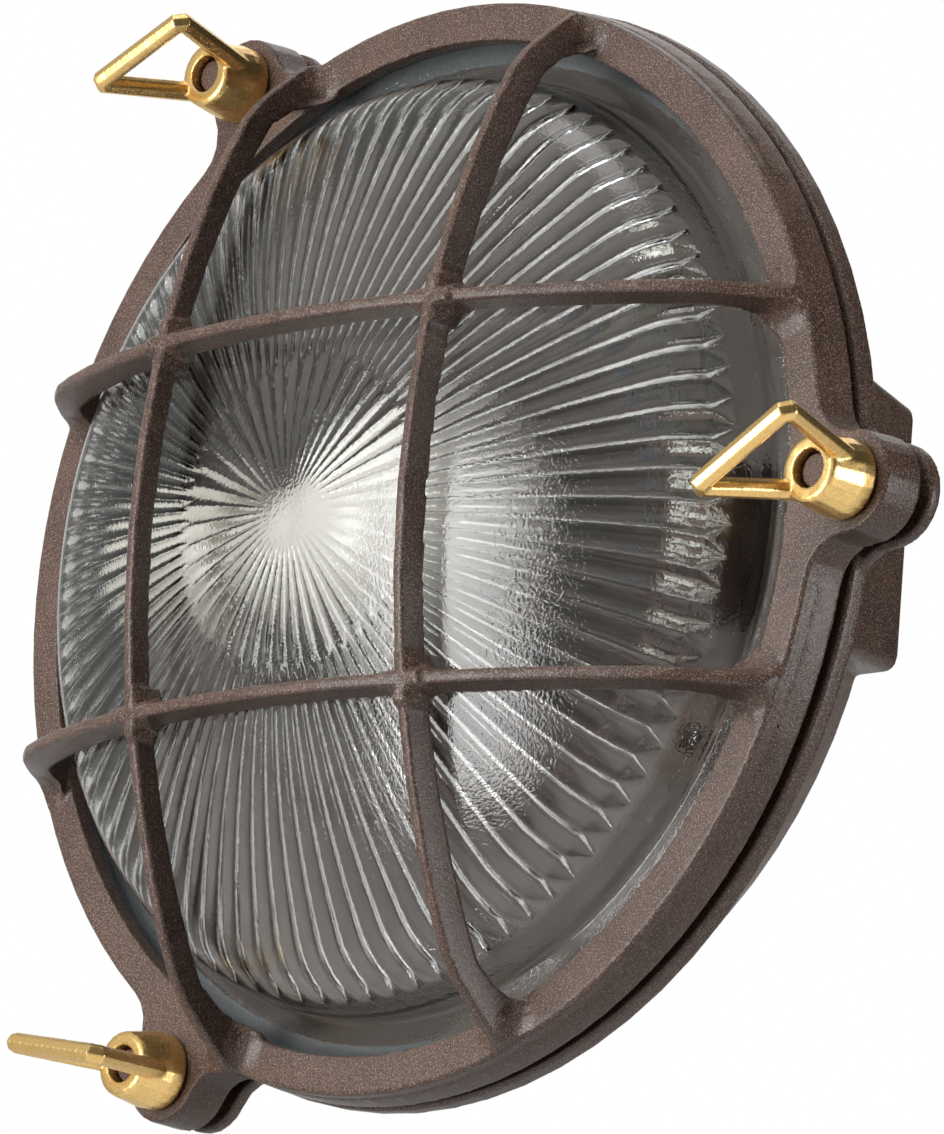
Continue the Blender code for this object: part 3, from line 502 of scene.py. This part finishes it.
def makeLens():
    rows, outside = lensRows()
    points, faces, sides = [], [], []
    across, widest = len(lens["across"]), lens["across"][-1]
    columns = lens["flutes"] * across
    for r, h, outR, outH, turn in rows:
        half = 1.0 if turn is None else max(tipHalf(turn), lens["tipNarrow"])
        fluted = turn is not None and turn >= lens["tipEnd"]
        for k in range(columns):
            number, share = k // across, lens["across"][k % across]
            if share > -1:
                share *= min(1.0, half / widest)
            angle = 2 * pi * (number + share / 2) / lens["flutes"]
            deep = fluteDepth(r, number, share, turn) if fluted else 0.0
            far = r - deep * outR
            points.append((far * mm * cos(angle), -(h - deep * outH) * mm, far * mm * sin(angle)))
    for row in range(len(rows) - 1):
        for k in range(columns):
            a, b = row * columns + k, row * columns + (k + 1) % columns
            faces.append((a, a + columns, b + columns, b))
            sides.append(0 if row < outside else 1)
    last = (len(rows) - 1) * columns
    faces += [tuple(range(columns)), tuple(last + k for k in reversed(range(columns)))]
    sides += [0, 1]
    mesh = bpy.data.meshes.new("glass_lens_fluted")
    mesh.from_pydata(points, [], faces)
    mesh.shade_smooth()
    addPiece("glass_lens_fluted", mesh, [looks["glassOut"], looks["glassIn"]], bodyOf("glass_lens"),
             ["glass_lens"])
    mesh.polygons.foreach_set("material_index", sides)


makeLens()
print("lens made")


def ringMesh(name, rings, sharp):
    # a closed form through rings of points, with a flat end on the first and the last
    steps, last = len(rings[0]), (len(rings) - 1) * len(rings[0])
    faces = [(a + k, a + (k + 1) % steps, a + (k + 1) % steps + steps, a + k + steps)
             for a in range(0, last, steps) for k in range(steps)]
    faces += [tuple(reversed(range(steps))), tuple(range(last, last + steps))]
    mesh = bpy.data.meshes.new(name)
    mesh.from_pydata([point for ring in rings for point in ring], [], faces)
    bm = bmesh.new()
    bm.from_mesh(mesh)
    bmesh.ops.recalc_face_normals(bm, faces=bm.faces)
    bm.to_mesh(mesh)
    bm.free()
    mesh.shade_smooth()
    mesh.set_sharp_from_angle(angle=radians(sharp))
    return mesh


# Lamp: opal bulb and its threaded cap, sizes in mm. Its axis runs along X, in front of the wall
lamp = {"axis": 38.0, "bulbRadius": 30.0, "bulbPlace": 3.0, "neckShare": 0.80, "length": 104.0,
        "capRadius": 13.0, "capLength": 22.0, "capTip": 3.5, "pitch": 3.6, "thread": 0.55, "steps": 96}


def turnedRings(profile):
    # a profile of (radius, place along X) turned about the lamp's axis
    turns = [2 * pi * k / lamp["steps"] for k in range(lamp["steps"])]
    return [[(h * mm, (r * cos(a) - lamp["axis"]) * mm, r * sin(a) * mm) for a in turns]
            for r, h in profile]


def bulbProfile(capTop):
    bulbR, place = lamp["bulbRadius"], lamp["bulbPlace"]
    meet = bulbR * lamp["neckShare"]
    neckR, neckLow = lamp["capRadius"] + 0.4, capTop + 0.6
    neckHigh = place - sqrt(bulbR ** 2 - meet ** 2)
    profile = [(lamp["capRadius"] - 1.2, capTop - 0.5)]
    for k in range(17):                     # neck, one easy curve up to the bulb
        t = k / 16
        swell = 0.55 * t ** 1.3 + 0.45 * easeBetween(t, 0, 1)
        profile.append((neckR + (meet - neckR) * swell, neckLow + (neckHigh - neckLow) * t))
    start = pi - asin(lamp["neckShare"])
    for k in range(1, 30):                  # bulb, round to its end
        turn = start * (1 - k / 30)
        profile.append((bulbR * sin(turn), place + bulbR * cos(turn)))
    return profile + [(0.3, place + bulbR - 0.0015)]


def capProfile(end, capTop):
    capR, deep = lamp["capRadius"], lamp["thread"]
    profile = [(3.6, end + 0.05), (4.0, end + 0.4), (4.4, end + 1.2), (9.6, end + 3.3), (11.2, end + 3.6)]
    rows = int(lamp["capLength"] * 6)
    for k in range(rows + 1):
        h = end + 4.3 + (lamp["capLength"] - 4.0) * k / rows
        profile.append((capR - 0.02 - deep + deep * sin(2 * pi * (h - end) / lamp["pitch"]), h))
    return profile + [(capR, capTop - 0.4), (capR, capTop + 0.4)]


def makeLamp():
    end = lamp["bulbPlace"] + lamp["bulbRadius"] - lamp["length"]
    capTop = end + lamp["capTip"] + lamp["capLength"]
    bulb = ringMesh("lamp_bulb", turnedRings(bulbProfile(capTop)), 40)
    addPiece("lamp_bulb", bulb, [looks["opal"]], "lamp", ["lamp"])
    cap = ringMesh("lamp_cap", turnedRings(capProfile(end, capTop)), 40)
    addPiece("lamp_cap", cap, [looks["zinc"]], "lamp")


makeLamp()
print("lamp made")


# Studs: M8 studs with a true rolled thread in front of the housing's lugs, sizes in mm
stud = {"radius": 4.0, "clear": 0.05, "headRadius": 6.5, "headEdge": 0.8, "headHigh": 3.0,
        "pitch": 1.25, "deep": 0.62, "threadFrom": 29.5, "fadeRows": 6, "end": 51.5, "endEdge": 0.9,
        "steps": 40, "perTurn": 10}


def threadCut(turns):
    # the share of the thread's depth that is cut away this many turns along it
    return min(1.0, max(0.0, 1.15 * (1 - abs(2 * (turns % 1.0) - 1)) - 0.08))


def makeStud(number):
    low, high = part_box(f"stud_{number}")
    cx, cz, tail = (low.x + high.x) / 2 / mm, (low.z + high.z) / 2 / mm, -high.y / mm
    head, shank, steps = stud["headRadius"], stud["radius"] - stud["clear"], stud["steps"]
    plain = [(head - stud["headEdge"], tail), (head, tail + stud["headEdge"]),
             (head, tail + stud["headHigh"]), (shank, tail + stud["headHigh"]),
             (shank, stud["threadFrom"] - 0.6)]
    rows = [([r] * steps, h) for r, h in plain]
    length = stud["end"] - stud["endEdge"] - stud["threadFrom"]
    count = int(length / stud["pitch"] * stud["perTurn"])
    for row in range(count + 1):
        h = stud["threadFrom"] + length * row / count
        deep = stud["deep"] * min(1.0, row / stud["fadeRows"])
        rows.append(([shank - deep * threadCut(h / stud["pitch"] + k / steps) for k in range(steps)], h))
    rows += [([3.75] * steps, stud["end"] - 0.3), ([3.45] * steps, stud["end"])]
    rings = []
    for radii, h in rows:
        turned = [(r, 2 * pi * k / steps) for k, r in enumerate(radii)]
        rings.append([((cx + r * cos(a)) * mm, -h * mm, (cz + r * sin(a)) * mm) for r, a in turned])
    mesh = ringMesh(f"stud_{number}_threaded", rings, 35)
    addPiece(f"stud_{number}_threaded", mesh, [looks["coat"]], "housing",
             [f"stud_{number}"])


for number in (1, 2, 3):
    makeStud(number)
print("studs made")


# The rest keep their CAD solids, with a finish each. What isn't named is zinc-plated
finishes = {
    "lens_gasket": "rubber", "cable_grommet": "bush", "lampholder_body": "porcelain",
    "lampholder_shell": "brass", "centre_contact": "brass", "holder_bracket": "steel",
    "terminal_block": "phenolic", "wire_live": "brown", "wire_neutral": "blue", "wire_earth": "green",
}


def dressNodes():
    for name, node in frame["nodes"].items():
        if node.hide_render:
            continue
        node.data.materials.clear()
        node.data.materials.append(looks[finishes.get(name, "zinc")])
        weld = node.modifiers.new("weld", "WELD")
        weld.merge_threshold = 0.01 * mm
        split = node.modifiers.new("edges", "EDGE_SPLIT")
        split.split_angle = radians(32)
        node.data.shade_smooth()


dressNodes()
print("nodes dressed")


# Studio, in metres and degrees: the camera's place round the light, its lens in mm, and the floor,
# whose colour is darker for what it throws back on the light
studio = {"azimuth": 45.91, "elevation": -12.31, "roll": 4.39, "lens": 276.85, "distance": 1.9554,
          "aim": (0, -0.041, 0), "aimAcross": 0.0143, "aimUp": -0.00515,
          "floor": -1.1, "floorSize": 12.0, "floorColour": "#f2f1ef", "floorBounce": "#4a4846"}
# Softboxes: azimuth, elevation, distance, width, height and radiance
softboxes = {
    "frontStrip": (-17, -3, 1.5, 0.52, 0.95, 9.5),
    "topStrip": (-20, 78, 1.5, 0.8, 0.5, 2.0),
    "rightStrip": (112, -5, 1.6, 0.55, 0.85, 8.0),
    "topBack": (-150, 50, 1.6, 1.0, 0.7, 1.2),
}
# Room: where its backdrop, tent and fill stand, as azimuth and elevation, and its colours as gloss
# and glass show them
room = {"backdrop": (-134, 12), "tent": (-45, 10), "fill": (-8, 38), "fillStrength": 3.4,
        "white": "#ffffff", "glossFar": "#3a3a39", "glossTent": "#b4b4b1", "glassFar": "#e4e4e2",
        "glassTent": "#c0c0bd", "fillFar": "#1c1c1c"}


def direction(azimuth, elevation):
    # from the light towards a place round it: azimuth 0 is straight in front, 90 to its right on +X
    a, e = radians(azimuth), radians(elevation)
    return Vector((sin(a) * cos(e), -cos(a) * cos(e), sin(e)))


def makeCamera():
    back = direction(studio["azimuth"], studio["elevation"])
    a, roll = radians(studio["azimuth"]), radians(studio["roll"])
    right = Vector((cos(a), sin(a), 0))
    up = back.cross(right)
    across = cos(roll) * right + sin(roll) * up
    above = cos(roll) * up - sin(roll) * right
    aim = Vector(studio["aim"]) + across * studio["aimAcross"] + above * studio["aimUp"]
    data = bpy.data.cameras.new("camera")
    data.lens = studio["lens"]
    camera = bpy.data.objects.new("camera", data)
    bpy.context.scene.collection.objects.link(camera)
    turn = Matrix((across, above, back)).transposed().to_4x4()
    camera.matrix_world = Matrix.Translation(aim + back * studio["distance"]) @ turn
    bpy.context.scene.camera = camera


def makeSoftbox(name, azimuth, elevation, distance, width, height, radiance):
    data = bpy.data.lights.new(name, "AREA")
    data.shape = "RECTANGLE"
    data.size, data.size_y = width, height
    data.energy = radiance * pi * width * height
    box = bpy.data.objects.new(name, data)
    bpy.context.scene.collection.objects.link(box)
    facing = direction(azimuth, elevation)
    turn = facing.to_track_quat("Z", "Y").to_matrix().to_4x4()
    box.matrix_world = Matrix.Translation(facing * distance) @ turn


def makeWorld():
    # a white backdrop behind the light for the eye, for gloss and for glass, and a pale tent in front
    # and to its left. What lights the object comes mostly from above its front
    world = bpy.data.worlds.new("studioWorld")
    bpy.context.scene.world = world
    world.use_nodes = True
    tree = world.node_tree
    tree.nodes.clear()
    way = addNode(tree, "ShaderNodeTexCoord").outputs["Generated"]

    def toward(name, low, high):
        # from 0 to 1 as a ray turns towards that part of the room
        settings = {"operation": "DOT_PRODUCT", 1: direction(*room[name])}
        near = addNode(tree, "ShaderNodeVectorMath", settings, {0: way}).outputs["Value"]
        return stretch(tree, near, low, high)

    backdrop, tent = toward("backdrop", 0.88, 0.95), toward("tent", -0.3, 0.6)
    fill = toward("fill", 0.76, 0.97)
    gloss = blendColours(tree, tent, room["glossFar"], room["glossTent"])
    gloss = blendColours(tree, backdrop, gloss, room["white"])
    glass = blendColours(tree, tent, room["glassFar"], room["glassTent"])
    glass = blendColours(tree, backdrop, glass, room["white"])
    path = addNode(tree, "ShaderNodeLightPath")
    shown = blendColours(tree, path.outputs["Is Transmission Ray"], gloss, glass)
    shown = blendColours(tree, path.outputs["Is Camera Ray"], shown, room["white"])
    lightColour = blendColours(tree, fill, room["fillFar"], room["white"])
    lit = addNode(tree, "ShaderNodeBackground", {"Strength": room["fillStrength"]}, {"Color": lightColour})
    seen = addNode(tree, "ShaderNodeBackground", {"Strength": 1.0}, {"Color": shown})
    either = path.outputs["Is Camera Ray"]
    for kind in ("Is Glossy Ray", "Is Transmission Ray"):
        links = {0: either, 1: path.outputs[kind]}
        either = addNode(tree, "ShaderNodeMath", {"operation": "MAXIMUM"}, links).outputs[0]
    both = addNode(tree, "ShaderNodeMixShader", {}, {0: either, 1: lit.outputs[0], 2: seen.outputs[0]})
    addNode(tree, "ShaderNodeOutputWorld", {}, {"Surface": both.outputs[0]})


def makeFloor():
    half = studio["floorSize"] / 2
    corners = [(-half, -half, 0), (half, -half, 0), (half, half, 0), (-half, half, 0)]
    mesh = bpy.data.meshes.new("floor")
    mesh.from_pydata(corners, [], [(0, 1, 2, 3)])
    floor = bpy.data.objects.new("floor", mesh)
    floor.location.z = studio["floor"]
    bpy.context.scene.collection.objects.link(floor)
    material, tree = newMaterial("paleFloor")
    side = addNode(tree, "ShaderNodeNewGeometry").outputs["Backfacing"]
    bounce = addNode(tree, "ShaderNodeLightPath").outputs["Is Diffuse Ray"]
    colour = blendColours(tree, bounce, studio["floorColour"], studio["floorBounce"])
    pale = addNode(tree, "ShaderNodeBsdfDiffuse", {}, {"Color": colour})
    clear = addNode(tree, "ShaderNodeBsdfTransparent")
    both = addNode(tree, "ShaderNodeMixShader", {}, {0: side, 1: pale.outputs[0], 2: clear.outputs[0]})
    finishMaterial(tree, both)
    mesh.materials.append(material)


makeCamera()
makeWorld()
makeFloor()
for name, box in softboxes.items():
    makeSoftbox(name, *box)
bpy.context.scene.view_settings.view_transform = "Standard"
print("studio made")
